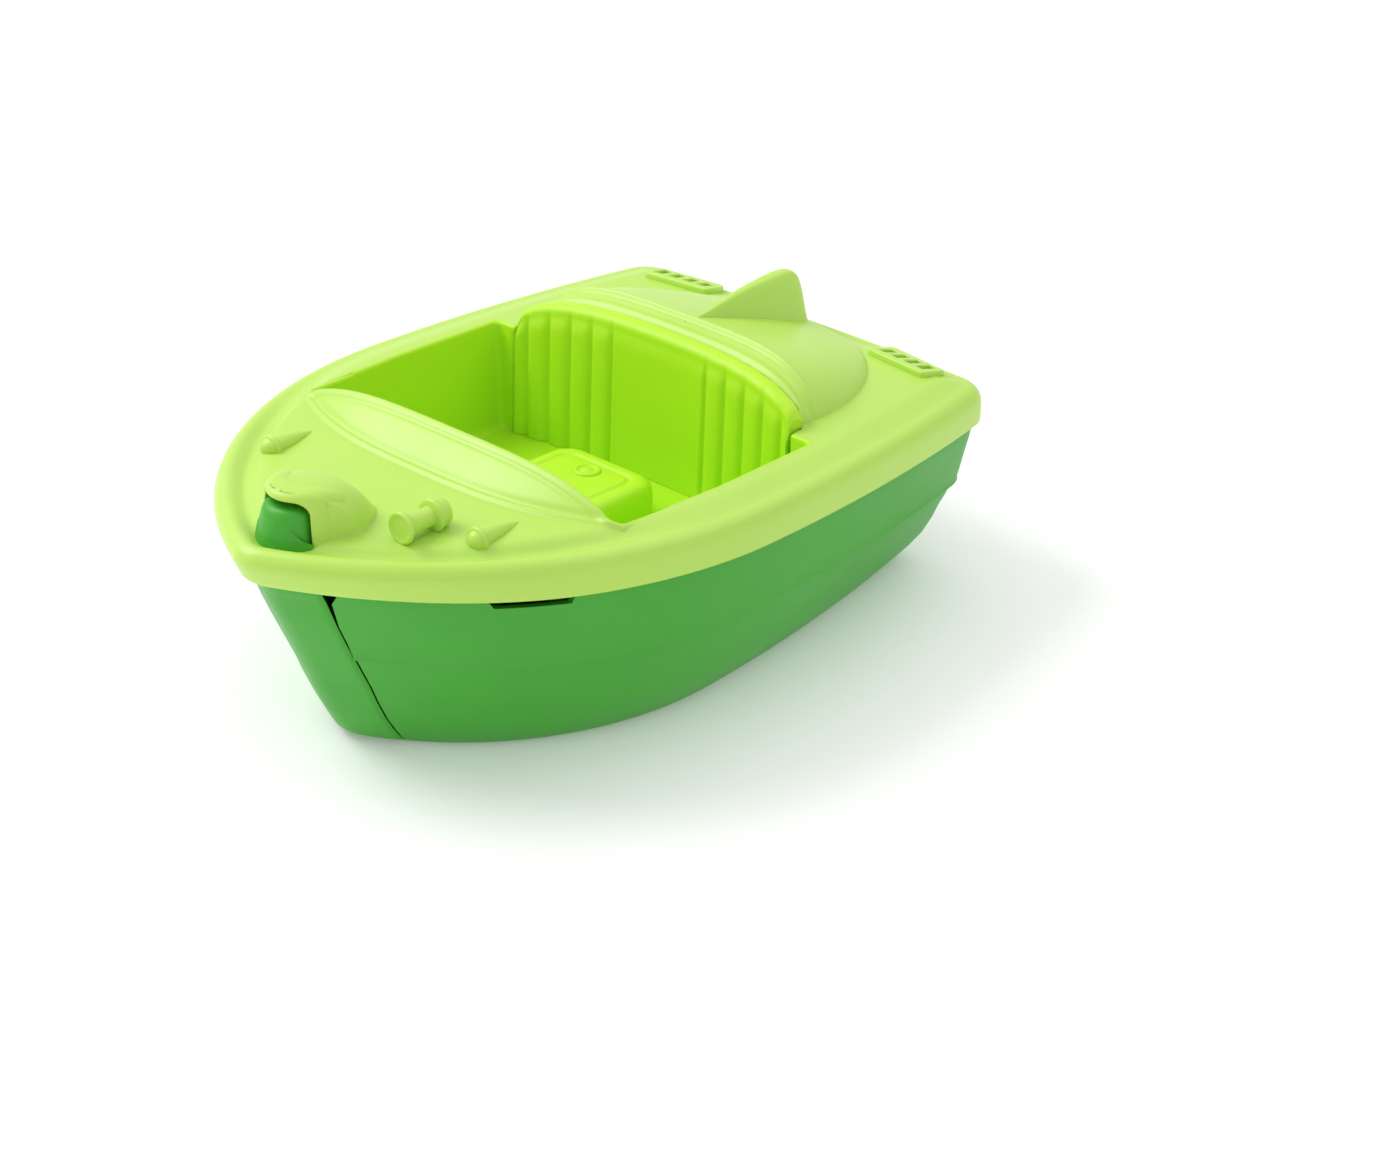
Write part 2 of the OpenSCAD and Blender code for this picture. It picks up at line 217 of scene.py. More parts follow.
SHOULDER = 1.4                  # height of the rim's rounded shoulder
SEAT_DEPTH = 6.0                # from the face of the seat back to its rear line
SEAT_END_H = 5.0                # height of the seat back's crest at its ends
RIDGE_GAP = 7.0                 # from the rear line to the hatch's front ridge


def seat_top(x):
    """Height of the seat back's crest at x."""
    u = np.clip(np.abs(2 * x / SEAT_W), 0, 1)
    return SEAT_END_H + (SEAT_RISE - SEAT_END_H) * np.sqrt(1 - u ** 3.5 * 0.98)


CROWN = 3.4                     # height of the deck's crown amidships
CROWN_DROP = 1.9                # how much of it is gone at the bow
DIP_DEPTH = 2.3
DIP_INSET = 9.5                 # from the rim's edge to the middle of the dip
DIP_W = 3.0


def base_height(x, y):
    """Deck without its raised features: rim shoulder, inner dip and crown."""
    inset = rim_inset(x, y)
    crown = CROWN - CROWN_DROP * ease(-45, -95, y)
    shoulder = SHOULDER * ease(-1, 4.5, inset)
    rise = (crown - SHOULDER) * ease(5.5, 15, inset)
    dip = DIP_DEPTH * ease(-15, -70, y) * np.exp(-((inset - DIP_INSET) / DIP_W) ** 2)
    return shoulder + rise - dip


def hatch_reach(x, y):
    """How far out a point lies on the hatch: 0 on its middle line, 1 at its edge."""
    return np.hypot(x / HATCH_HALF_W, np.maximum(y - HATCH_AFT_Y, 0) / HATCH_AFT_LEN)


HATCH_CREST_Y = 58.0
HATCH_FALL = 0.235              # slope of the hatch's crown towards the stern
BAND_DROP = 0.7                 # from the seat's crest down to the band behind it


def hatch_height(x, y, base):
    """Crowned engine hatch, its front ridge and the band behind the seat."""
    rear_line = seat_front(x) + SEAT_DEPTH
    ridge = rear_line + RIDGE_GAP
    rho = hatch_reach(x, y)
    dome = np.clip(1 - rho ** 5, 0, 1) ** 0.7
    crown = HATCH_H - (y - HATCH_CREST_Y) * HATCH_FALL
    h = base + (np.maximum(crown, base + 0.4) - base) * dome
    climb = np.clip((y - rear_line) / RIDGE_GAP, 0, 1)
    band = seat_top(x) - BAND_DROP
    step = 1 - ease(-0.8, 0.8, y - ridge)
    h = np.where(climb < 1, band + (h - band) * climb, h) - step * climb
    bead = 0.9 * np.exp(-((y - ridge - 0.8) / 1.1) ** 2)
    line = 0.5 * np.exp(-((y - rear_line - 1.8) / 0.8) ** 2)
    groove = 0.4 * np.exp(-((y - rear_line - 4.2) / 1.0) ** 2)
    live = ease(0.0, 0.25, dome)
    h = h + (bead + line - groove) * live
    return np.where((y > COCKPIT_AFT - 2) & (rho < 1), np.maximum(h, base), base)


SHIELD_END_H = 3.0              # height of the windshield at its ends
SHIELD_BEND = 0.85              # radians of crown between its foot and its top edge


def shield_height(x, y, base):
    """Raked windshield with a thin bead below and a thick one along its top."""
    u = np.clip(np.abs(2 * x / SHIELD_W), 0, 1)
    foot = shield_foot(x)
    run = np.maximum(COCKPIT_FRONT - foot, 0.6)
    s = np.clip((y - foot) / run, 0, 1)
    top = SHIELD_END_H + (SHIELD_H - SHIELD_END_H) * (1 - u ** 4)
    face = base + (top - base) * np.sin(s * SHIELD_BEND) / math.sin(SHIELD_BEND)
    on = (u < 1) & (y > foot)
    lean = 1 / np.sqrt(1 + (3 * SHIELD_RAKE * u ** 2 * 2 / SHIELD_W) ** 2)
    across = (y - foot) * lean
    low_bead = (0.8 * np.exp(-((across - 0.2) / 0.7) ** 2)
                - 0.45 * np.exp(-((across - 2.0) / 0.9) ** 2)) * ease(1.0, 0.95, u)
    lip = (0.35 * ease(-3.4, -2.4, y - COCKPIT_FRONT) - 0.3 * np.exp(
        -((y - COCKPIT_FRONT + 3.4) / 0.7) ** 2)) * ease(1.0, 0.93, u)
    round_off = -0.9 * ease(-1.4, 0.6, y - COCKPIT_FRONT) * ease(1.0, 0.93, u)
    return np.where(on, face + lip + round_off, base) + low_bead


HOOD_W = 17.5                   # half width of the hood
HOOD_TOP = 15.6
HOOD_FULL_Y = -106.0            # aft of here the hood narrows and falls
HOOD_TAIL = 28.0                # length over which it narrows
HOOD_FALL = 27.0                # length over which it falls
HOOD_FILLET = 1.8
FACE_BOW = 0.06                 # how fast the button's face falls back to its sides


def face_y(x, h):
    """Station of the button's leaning, bowed face."""
    return BUTTON_Y + FACE_BOW * np.asarray(x) ** 2 + (h - BUTTON_LOW) * BUTTON_LEAN


def hood_height(x, y):
    """Teardrop hood over the bow button."""
    aft = np.maximum(y - HOOD_FULL_Y, 0)
    wide = np.sqrt(np.clip(1 - (aft / HOOD_TAIL) ** 2, 0, 1))
    w = np.maximum(HOOD_W * wide, 0.5)
    tall = np.clip(1 - (aft / HOOD_FALL) ** 3, 0, 1)
    front = ease(-0.5, 3.5, y - face_y(x, 4.0))
    arch = np.clip(1 - np.clip(np.abs(x) / w, 0, 1.4) ** 2.7, -2, 1)
    h = HOOD_TOP * tall * np.sign(arch) * np.abs(arch) ** 0.5
    return h * front - 6 * (1 - front)


def deck_height(x, y):
    """Height of the finished deck above its plane at (x, y)."""
    base = base_height(x, y)
    h = shield_height(x, y, base)
    h = np.where(y > 0, hatch_height(x, y, base), h)
    near_bow = y < -60
    return np.where(near_bow, blend_max(h, hood_height(x, y), HOOD_FILLET), h)


def deck_normals(x, y):
    """Unit normals of the height field, from central differences."""
    e = 0.3
    dx = (deck_height(x + e, y) - deck_height(x - e, y)) / (2 * e)
    dy = (deck_height(x, y + e) - deck_height(x, y - e)) / (2 * e)
    n = np.stack([-dx, -dy, np.ones_like(dx)], -1)
    n /= np.linalg.norm(n, axis=-1, keepdims=True)
    c, s = math.cos(SHEER), math.sin(SHEER)
    return np.stack([n[..., 0], n[..., 1] * c + n[..., 2] * s, -n[..., 1] * s + n[..., 2] * c], -1)


# ---------- mesh helpers ----------

def make_object(name, verts, faces, material, body, smooth_angle=35, normals=None):
    """A mesh object in the level frame that rides on a body."""
    mesh = bpy.data.meshes.new(name)
    mesh.from_pydata([tuple(v) for v in verts], [], [tuple(int(i) for i in f) for f in faces])
    mesh.validate()
    mesh.update()
    mesh.polygons.foreach_set("use_smooth", [True] * len(mesh.polygons))
    if normals is not None:
        mesh.normals_split_custom_set_from_vertices([tuple(n) for n in normals])
    else:
        mesh.set_sharp_from_angle(angle=math.radians(smooth_angle))
    obj = bpy.data.objects.new(name, mesh)
    bpy.context.scene.collection.objects.link(obj)
    mesh.materials.append(material)
    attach(obj, body)
    return obj


def ring_faces(rings, points, closed=True):
    """Quads between successive rings of points."""
    i = np.arange(points if closed else points - 1)
    j = (i + 1) % points
    out = []
    for k in range(rings - 1):
        a, b = k * points, (k + 1) * points
        out.append(np.stack([a + i, a + j, b + j, b + i], -1))
    return np.vstack(out)


def loft(name, rings, material, body, closed=True, cap_first=False, cap_last=False,
         smooth_angle=35, flip=False):
    """A skin through rings of level-frame points, with optional flat ends."""
    rings = np.asarray(rings)
    m, n = rings.shape[:2]
    faces = [list(f) for f in ring_faces(m, n, closed)]
    if cap_first:
        faces.append(list(range(n))[::-1])
    if cap_last:
        faces.append([(m - 1) * n + i for i in range(n)])
    if flip:
        faces = [f[::-1] for f in faces]
    return make_object(name, rings.reshape(-1, 3), faces, material, body, smooth_angle)


def thicken(obj, depth):
    """Gives an open skin real wall thickness."""
    mod = obj.modifiers.new("wall", "SOLIDIFY")
    mod.thickness = depth * MM
    mod.offset = -1
    mod.use_even_offset = True


def revolve(profile, centre, points=48):
    """Rings about a fore-and-aft axis through centre; profile is (station, radius)."""
    a = np.linspace(0, 2 * math.pi, points, endpoint=False)
    return np.array([np.stack([centre[0] + radius * np.cos(a), np.full(points, centre[1] + along),
                               centre[2] + radius * np.sin(a)], -1) for along, radius in profile])


# ---------- materials ----------

def plastic(name, colour, shade, rough=0.42, glow=0.12, sheen=0.45, grain=0.05):
    """Moulded recycled plastic: faint flow marks, soft sheen, fine surface grain."""
    mat = bpy.data.materials.new(name)
    mat.use_nodes = True
    nodes, links = mat.node_tree.nodes, mat.node_tree.links
    shader = nodes["Principled BSDF"]
    coord = nodes.new("ShaderNodeTexCoord")

    def noise(scale, detail, stretch=(1, 1, 1)):
        mapping = nodes.new("ShaderNodeMapping")
        mapping.inputs["Scale"].default_value = stretch
        links.new(coord.outputs["Object"], mapping.inputs["Vector"])
        tex = nodes.new("ShaderNodeTexNoise")
        tex.inputs["Scale"].default_value = scale
        tex.inputs["Detail"].default_value = detail
        links.new(mapping.outputs["Vector"], tex.inputs["Vector"])
        return tex

    flow = noise(22, 4, (1, 0.45, 1))
    ramp = nodes.new("ShaderNodeValToRGB")
    ramp.color_ramp.elements[0].position = 0.32
    ramp.color_ramp.elements[0].color = (*shade, 1)
    ramp.color_ramp.elements[1].position = 0.68
    ramp.color_ramp.elements[1].color = (*colour, 1)
    links.new(flow.outputs["Fac"], ramp.inputs["Fac"])

    specks = noise(900, 2)
    speck_mask = nodes.new("ShaderNodeMapRange")
    speck_mask.inputs["From Min"].default_value = 0.70
    speck_mask.inputs["From Max"].default_value = 0.78
    speck_mask.inputs["To Max"].default_value = 0.16
    links.new(specks.outputs["Fac"], speck_mask.inputs["Value"])
    mix = nodes.new("ShaderNodeMix")
    mix.data_type = "RGBA"
    links.new(speck_mask.outputs["Result"], mix.inputs["Factor"])
    links.new(ramp.outputs["Color"], mix.inputs["A"])
    mix.inputs["B"].default_value = (*[c * 0.72 for c in shade], 1)
    links.new(mix.outputs["Result"], shader.inputs["Base Color"])

    wear = noise(60, 6)
    rough_range = nodes.new("ShaderNodeMapRange")
    rough_range.inputs["To Min"].default_value = rough - 0.07
    rough_range.inputs["To Max"].default_value = rough + 0.09
    links.new(wear.outputs["Fac"], rough_range.inputs["Value"])
    links.new(rough_range.outputs["Result"], shader.inputs["Roughness"])

    fine = noise(1600, 3)
    wave = noise(45, 2)
    fine_bump = nodes.new("ShaderNodeBump")
    fine_bump.inputs["Strength"].default_value = grain
    fine_bump.inputs["Distance"].default_value = 0.0004
    links.new(fine.outputs["Fac"], fine_bump.inputs["Height"])
    wave_bump = nodes.new("ShaderNodeBump")
    wave_bump.inputs["Strength"].default_value = 0.10
    wave_bump.inputs["Distance"].default_value = 0.0006
    links.new(wave.outputs["Fac"], wave_bump.inputs["Height"])
    links.new(fine_bump.outputs["Normal"], wave_bump.inputs["Normal"])
    links.new(wave_bump.outputs["Normal"], shader.inputs["Normal"])

    shader.inputs["Subsurface Weight"].default_value = glow
    shader.inputs["Subsurface Radius"].default_value = (0.9, 1.0, 0.35)
    shader.inputs["Subsurface Scale"].default_value = 0.004
    shader.inputs["Specular IOR Level"].default_value = sheen
    return mat


DECK_GREEN = plastic("deck_green_plastic", (0.475, 0.72, 0.105), (0.44, 0.69, 0.09),
                     rough=0.38, sheen=0.6)
TUB_GREEN = plastic("tub_green_plastic", (0.47, 0.80, 0.018), (0.44, 0.77, 0.014))
HULL_GREEN = plastic("hull_green_plastic", (0.050, 0.375, 0.022), (0.042, 0.34, 0.017),
                     rough=0.42, glow=0.04)


# ---------- deck skin, windshield and hatch from the height field ----------

SEAT_GAP = 0.3                  # between the seat back's ends and the recess they sit in


def opening_plan(grow):
    """Edge of the cockpit where the deck skin stops, moved outward by grow."""
    w = COCKPIT_W / 2 + grow
    seat = SEAT_W / 2 + SEAT_GAP
    front = COCKPIT_FRONT - grow
    port = [(w - 2, front), (w, 0), (w - 1, COCKPIT_AFT + grow), (seat, COCKPIT_AFT + grow)]
    rear = [(x, float(seat_front(x)) + SEAT_DEPTH)
            for x in np.linspace(SEAT_W / 2, -SEAT_W / 2, 25)]
    star = [(-x, y) for x, y in port[::-1]]
    corners = port + rear + star
    radii = [4, 30, 2.2, 0.4] + [0.05] * len(rear) + [0.4, 2.2, 30, 4]
    return rounded(corners, radii, 6)


def outline_distance(x, y, outline):
    """Signed distance to a closed outline (negative inside) and the nearest point."""
    a, b = outline, np.roll(outline, -1, axis=0)
    best = np.full(x.shape, 1e9)
    near = np.zeros(x.shape + (2,))
    inside = np.zeros(x.shape, bool)
    for (ax, ay), (bx, by) in zip(a, b):
        ex, ey = bx - ax, by - ay
        size = ex * ex + ey * ey
        if size < 1e-12:
            continue
        t = np.clip(((x - ax) * ex + (y - ay) * ey) / size, 0, 1)
        px, py = ax + t * ex, ay + t * ey
        d = np.hypot(x - px, y - py)
        closer = d < best
        best = np.where(closer, d, best)
        near[closer] = np.stack([px, py], -1)[closer]
        crosses = ((ay > y) != (by > y)) & (x < ex * (y - ay) / (ey if ey else 1e-12) + ax)
        inside ^= crosses
    return np.where(inside, -best, best), near


RIM_BAND = 6.0                  # width of the ring-built rim outside the height field
OPENING_ROLL = 1.0              # width of the rounded edge between deck skin and tub
MOUTH_SIDE = 1.4                # how far the hood's mouth is cut beside the button
MOUTH_START, MOUTH_END = 0.4, 4.8   # how far aft of the button's face the cut runs


def field_skin():
    """The deck's height field, trimmed to the rim and the cockpit, in four pieces."""
    xs = np.arange(-HALF_W, HALF_W + GRID, GRID)
    ys = np.arange(-HALF_LEN, HALF_LEN + GRID, GRID)
    x, y = np.meshgrid(xs, ys)
    rim = rim_plan(RIM_BAND)
    hole = opening_plan(OPENING_ROLL)
    d_rim, near_rim = outline_distance(x, y, resample(rim, 260))
    d_hole, near_hole = outline_distance(x, y, hole)
    # points just outside the kept region are moved on to its edge
    outside = (d_rim > 0) | (d_hole < 0)
    cut_rim = d_rim > 0
    cut_hole = (d_hole < 0) & ~cut_rim
    keep_cell = np.zeros(x.shape, bool)[:-1, :-1]
    for dy in (0, 1):
        for dx in (0, 1):
            keep_cell |= ~outside[dy:dy + x.shape[0] - 1, dx:dx + x.shape[1] - 1]
    x2, y2 = x.copy(), y.copy()
    x2[cut_rim], y2[cut_rim] = near_rim[cut_rim].T
    x2[cut_hole], y2[cut_hole] = near_hole[cut_hole].T
    h = deck_height(x2, y2)
    # the mouth of the hood stays open for the button
    cx, cy = (x + GRID / 2)[:-1, :-1], (y + GRID / 2)[:-1, :-1]
    depth = cy - face_y(cx, BUTTON_LOW)
    mouth = (np.abs(cx) < BUTTON_W / 2 + MOUTH_SIDE) & (depth > MOUTH_START) & (
        depth < MOUTH_END)
    keep_cell &= ~mouth
    rows, cols = np.nonzero(keep_cell)
    w = x.shape[1]
    quads = np.stack([rows * w + cols, rows * w + cols + 1, (rows + 1) * w + cols + 1,
                      (rows + 1) * w + cols], -1)
    fx, fy = (x + GRID / 2)[rows, cols], (y + GRID / 2)[rows, cols]
    on_shield = (fy > shield_foot(fx) - 1.5) & (fy < COCKPIT_FRONT + 2) & (
        np.abs(fx) < SHIELD_W / 2)
    on_hatch = (fy > COCKPIT_AFT + 4) & (hatch_reach(fx, fy) < 1.0)
    on_hood = (fy < -74) & (np.abs(fx) < 22) & (
        hood_height(fx, fy) > base_height(fx, fy) - 0.4)
    verts = place(np.stack([x2, y2, h], -1).reshape(-1, 3))
    normals = deck_normals(x2, y2).reshape(-1, 3)
    parts = [("windshield_skin", on_shield, "windshield"),
             ("engine_hatch_skin", on_hatch, "engine_hatch"),
             ("bow_hood_skin", on_hood, "bow_hood"),
             ("foredeck_skin", ~(on_shield | on_hatch | on_hood), None)]
    for name, mask, node in parts:
        used, index = np.unique(quads[mask], return_inverse=True)
        obj = make_object(name, verts[used], index.reshape(-1, 4), DECK_GREEN, "topside",
                          normals=normals[used])
        if node:
            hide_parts(node)


def rim_skin():
    """The rounded rim, from under its skirt to the edge of the height field."""
    under = [(2.6, -3.0), (2.3, -9.8), (1.9, -10.45), (1.2, -RIM_H), (0.5, -RIM_H + 0.1),
             (0.1, -RIM_H + 0.6), (0.0, -9.4), (0.0, -7.5), (0.02, -5.2), (0.12, -3.6),
             (0.35, -2.3), (0.8, -1.2), (1.4, -0.3), (2.1, 0.4), (2.9, 0.9), (3.6, 1.2)]
    rings = []
    for inset, h in under:
        p = rim_plan(inset)
        tuck = 0.5 * max(-3.0 - h, 0) * ease(-55, -122, p[:, 1])
        rings.append(np.column_stack([p[:, 0], p[:, 1] + tuck, np.full(RING_POINTS, h)]))
    for inset in (4.4, 5.2, RIM_BAND, RIM_BAND + 0.3):
        p = rim_plan(inset)
        rings.append(np.column_stack([p, deck_height(p[:, 0], p[:, 1])]))
    rings[-1][:, 2] -= 0.05
    obj = loft("deck_rim_skin", place(np.array(rings)), DECK_GREEN, "topside", smooth_angle=60)
    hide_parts("deck")


# ---------- cockpit ----------

def tub_plan(t):
    """Inside of the tub moved inward by t, with the recess that holds the seat back."""
    w = COCKPIT_W / 2 - t
    seat = SEAT_W / 2 + SEAT_GAP
    aft = COCKPIT_AFT + max(-t, 0)
    pts = [(w - 2, COCKPIT_FRONT + t), (w, 0), (w - 1, aft), (seat, aft), (seat, SEAT_WALL_Y)]
    corners = pts + [(-x, y) for x, y in pts[::-1]]
    radii = [4 + max(t, 0), 30, 2.2, 0.4, 1.0]
    return resample(rounded(corners, radii + radii[::-1], 8), TUB_POINTS)


TUB_EDGE = [(-OPENING_ROLL, 0.0), (-0.75, 0.04), (-0.45, 0.2), (-0.2, 0.45), (-0.05, 0.8),
            (0.0, 1.3)]
TUB_FILLET = [(2.3, 3.2), (2.45, 2.3), (2.8, 1.4), (3.4, 0.7), (4.3, 0.2), (5.4, 0.0)]


def tub_skin():
    """Cockpit walls and floor with rounded edges above and below."""
    edge = tub_plan(-OPENING_ROLL)
    top = deck_height(edge[:, 0], edge[:, 1])
    top = np.where(edge[:, 1] > COCKPIT_AFT + 1.5, 2.5, top)
    levels = []
    for t, drop in TUB_EDGE:
        levels.append(np.column_stack([tub_plan(t), top - drop]))
    wall_top = top - TUB_EDGE[-1][1]
    for share in (0.15, 0.35, 0.55, 0.75, 0.9):
        h = wall_top + (-FLOOR_DEPTH + TUB_FILLET[0][1] - wall_top) * share
        levels.append(np.column_stack([tub_plan(2.2 * share), h]))
    for t, h in TUB_FILLET:
        levels.append(np.column_stack([tub_plan(t), np.full(len(edge), -FLOOR_DEPTH + h)]))
    obj = loft("cockpit_tub_skin", place(np.array(levels)), TUB_GREEN, "topside",
               cap_last=True, smooth_angle=50, flip=True)
    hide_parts("cockpit_tub")


GROOVE_START = 20.0
GROOVE_PITCH = 8.6
GROOVE_W = 1.25
GROOVES = 5
RIB_DEPTH = 1.5
SEAT_ROLL = 3.2                 # radius of the roll along the seat back's top


def seat_skin():
    """Pillow seat back with tuck-and-roll ribs on both sides of a plain panel."""
    half = SEAT_W / 2
    x = np.linspace(-half, half, 361)
    top = seat_top(x)
    ax = np.abs(x)
    phase = (ax - GROOVE_START) / GROOVE_PITCH
    ribbed = ease(GROOVE_START - 2.5, GROOVE_START, ax)
    to_groove = np.abs(phase - np.round(phase)) * GROOVE_PITCH
    to_last = np.abs(ax - GROOVE_START - GROOVE_PITCH * (GROOVES - 1))
    to_groove = np.where(phase > GROOVES - 0.5, to_last, to_groove)
    rib = (1 - np.exp(-(to_groove / GROOVE_W) ** 1.4)) * RIB_DEPTH
    rib = rib * ribbed + 0.9 * (1 - ribbed)
    front = seat_front(x)
    rings = []
    low = -FLOOR_DEPTH + 0.1
    for v in np.linspace(0, 1, 26):
        h = low + (top - SEAT_ROLL - low) * v
        fade = 1 - 0.85 * ease(0.90, 1.0, v)
        lean = 0.8 * (1 - v)
        rings.append(np.column_stack([x, front + 0.4 - lean * 0.3 - rib * fade, h]))
    for a in np.linspace(0.12, 1, 10):
        ang = a * math.pi * 0.78
        y = front + 0.2 - rib * 0.15 + SEAT_ROLL * (1 - math.cos(ang)) * 0.95
        fall = 0.9 * (1 - math.sin(ang)) if ang > math.pi / 2 else 0
        h = top - SEAT_ROLL + SEAT_ROLL * math.sin(min(ang, math.pi / 2)) - fall
        rings.append(np.column_stack([x, y, h]))
    rear = front + SEAT_DEPTH + 0.6
    for back, h in ((-0.5, top - 1.3), (0.0, top - 0.75), (0.1, top - 3.0),
                    (0.1, np.full_like(x, low))):
        rings.append(np.column_stack([x, rear + back, h]))
    rings = np.array(rings)
    # the ends turn in so that the pillow closes on itself
    pull = 1 - 0.012 * ease(half - 2.5, half, np.abs(rings[:, :, 0]))
    rings[:, :, 0] *= pull
    obj = loft("seat_back_skin", place(rings), TUB_GREEN, "topside", closed=False,
               smooth_angle=70, flip=True)
    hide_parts("seat_back")
    for name, col in (("starboard", 0), ("port", -1)):
        verts = place(rings[:, col])
        cap = make_object(f"seat_back_end_{name}", verts, [list(range(len(verts)))], TUB_GREEN,
                          "topside")


CONSOLE_HALF_W = 21.0
CONSOLE_FRONT, CONSOLE_REAR = -16.0, 29.0
CONSOLE_H = 14.0
CONSOLE_CORNER = 8.0
BOSS_Y = 16.0


def console_skin():
    """Console with rounded edges, a sunk line round its top and a small round boss."""
    profile = [(0.0, 0.0), (0.1, 4.0), (0.25, 9.5), (0.5, 11.2), (1.1, 12.6), (2.2, 13.6),
               (3.6, CONSOLE_H), (5.2, 14.05), (5.7, 13.9), (6.0, 13.55), (6.6, 13.45),
               (7.2, 13.55), (7.5, 13.9), (8.0, 14.05), (10.0, 14.1), (12.5, 14.15)]
    rings = []
    for d, h in profile:
        half, y0, y1 = CONSOLE_HALF_W - d, CONSOLE_FRONT + d, CONSOLE_REAR - d
        pts = rounded([(-half, y0), (half, y0), (half, y1), (-half, y1)],
                      max(CONSOLE_CORNER - d * 0.55, 1.5), 10)
        rings.append(np.column_stack([pts, np.full(len(pts), -FLOOR_DEPTH + h)]))
    obj = loft("console_skin", place(np.array(rings)), TUB_GREEN, "topside", cap_last=True,
               smooth_angle=50)
    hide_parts("console")
    boss = [(0.0, 4.4), (0.5, 4.3), (0.85, 3.9), (0.85, 3.3), (0.45, 2.9), (0.4, 2.2), (0.7, 1.7),
            (0.95, 0.9), (1.0, 0.02)]
    a = np.linspace(0, 2 * math.pi, 48, endpoint=False)
    top = -FLOOR_DEPTH + CONSOLE_H
    ring_pts = [np.stack([r * np.cos(a), BOSS_Y + r * np.sin(a), np.full_like(a, top + h)], -1)
                for h, r in boss]
    disc = loft("console_boss", place(np.array(ring_pts)), TUB_GREEN, "topside", cap_last=True)


# ---------- deck fittings ----------

NAV_X, NAV_Y = 44.0, -75.5
NAV_R = 3.3


def nav_light(side, node):
    """Bullet light: domed lens, bead ring and tapering tail, half sunk in the deck."""
    x, y, r = side * NAV_X, NAV_Y, NAV_R
    dome = [(-r * math.cos(t), max(r * math.sin(t), 0.02)) for t in np.linspace(0, 1.25, 10)]
    ring = [(-0.9, r * 0.96), (-0.8, r + 0.35), (-0.3, r + 0.75), (0.4, r + 0.75), (0.9, r + 0.35)]
    tail = [(1.0, r - 0.1)] + [(1 + 17 * t, r * (1 - t ** 1.6) + 0.02) for t in
                               np.linspace(0.06, 1, 14)]
    h = float(base_height(np.array(x), np.array(y))) + 0.5
    rings = revolve(dome + ring + tail, (x, y, h))
    obj = loft(f"{node}_skin", place(rings), DECK_GREEN, "topside", smooth_angle=55)
    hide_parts(node)


HORN_X, HORN_Y = 28.5, -91.0
HORN_RAISE = 4.6                # height of its axis over the deck


def horn():
    """Horn beside the hood: beaded bell, neck, flange and rear barrel."""
    profile = [(0.0, 0.02), (0.05, 2.6), (0.0, 3.6), (-0.35, 4.1), (-0.35, 4.6), (0.1, 5.0),
               (0.9, 4.9), (1.4, 4.4), (3.2, 3.6), (6.4, 3.1), (10.0, 3.0), (11.2, 3.2),
               (11.5, 4.4), (11.8, 5.0), (12.5, 5.2), (13.2, 5.0), (13.4, 4.6), (15.6, 4.4),
               (16.8, 4.0), (17.6, 3.0), (17.9, 1.6), (18.0, 0.02)]
    h = float(base_height(np.array(HORN_X), np.array(HORN_Y))) + HORN_RAISE
    rings = revolve(profile, (HORN_X, HORN_Y, h), 64)
    obj = loft("horn_skin", place(rings), DECK_GREEN, "topside", smooth_angle=55)
    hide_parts("horn")


VENT_FRAME = [(35, 110), (60, 107), (61.5, 116.5), (36.5, 120.5)]
VENT_SLOTS = 4
VENT_FIRST = (39.8, 114.9)      # middle of the innermost slot
VENT_PITCH = (5.7, -0.72)
VENT_SLOT = [(-2.6, -3.3), (1.7, -4.0), (2.6, 3.3), (-1.7, 4.0)]
VENT_HALF_H = 1.3               # half the frame's thickness
VENT_BEVEL = 0.5
VENT_FLOOR = 0.4                # height of the slot floors over the deck


def vent(side, node):
    """Louvred vent: a bevelled frame round four slots, with painted shade on the slot floors."""
    outer = rounded(VENT_FRAME, 1.6, 5)
    holes = []
    for i in range(VENT_SLOTS):
        cx, cy = VENT_FIRST[0] + VENT_PITCH[0] * i, VENT_FIRST[1] + VENT_PITCH[1] * i
        holes.append(rounded([(cx + dx, cy + dy) for dx, dy in VENT_SLOT], 0.7, 3))
    curve = bpy.data.curves.new(node, "CURVE")
    curve.dimensions = "2D"
    curve.fill_mode = "BOTH"
    curve.extrude = VENT_HALF_H * MM
    curve.bevel_depth = VENT_BEVEL * MM
    curve.bevel_resolution = 2
    for ring in [outer] + holes:
        spline = curve.splines.new("POLY")
        spline.points.add(len(ring) - 1)
        for point, (px, py) in zip(spline.points, ring):
            point.co = (side * px * MM, py * MM, 0, 1)
        spline.use_cyclic_u = True
    temp = bpy.data.objects.new(node + "_curve", curve)
    bpy.context.scene.collection.objects.link(temp)
    bpy.context.view_layer.update()
    mesh = bpy.data.meshes.new_from_object(temp)
    bpy.data.objects.remove(temp)
    co = np.zeros(len(mesh.vertices) * 3)
    mesh.vertices.foreach_get("co", co)
    co = co.reshape(-1, 3) / MM
    co[:, 2] += deck_height(co[:, 0], co[:, 1]) + 0.2
    mesh.vertices.foreach_set("co", place(co).ravel())
    mesh.materials.clear()
    mesh.materials.append(DECK_GREEN)
    mesh.polygons.foreach_set("use_smooth", [True] * len(mesh.polygons))
    mesh.set_sharp_from_angle(angle=math.radians(40))
    obj = bpy.data.objects.new(node + "_skin", mesh)
    bpy.context.scene.collection.objects.link(obj)
    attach(obj, "topside")
    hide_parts(node)
    # slot floors in painted shade: dark sheets that stand for the shadow inside the slots, just
    # over the deck and below the frame's top
    for k, ring in enumerate(holes):
        p = ring * [side, 1]
        z = deck_height(p[:, 0], p[:, 1])
        floor = make_object(f"{node}_slot_{k}", place(np.column_stack([p, z + VENT_FLOOR])),
                            [list(range(len(p)))], SLOT_PAINTED_SHADE, "topside")


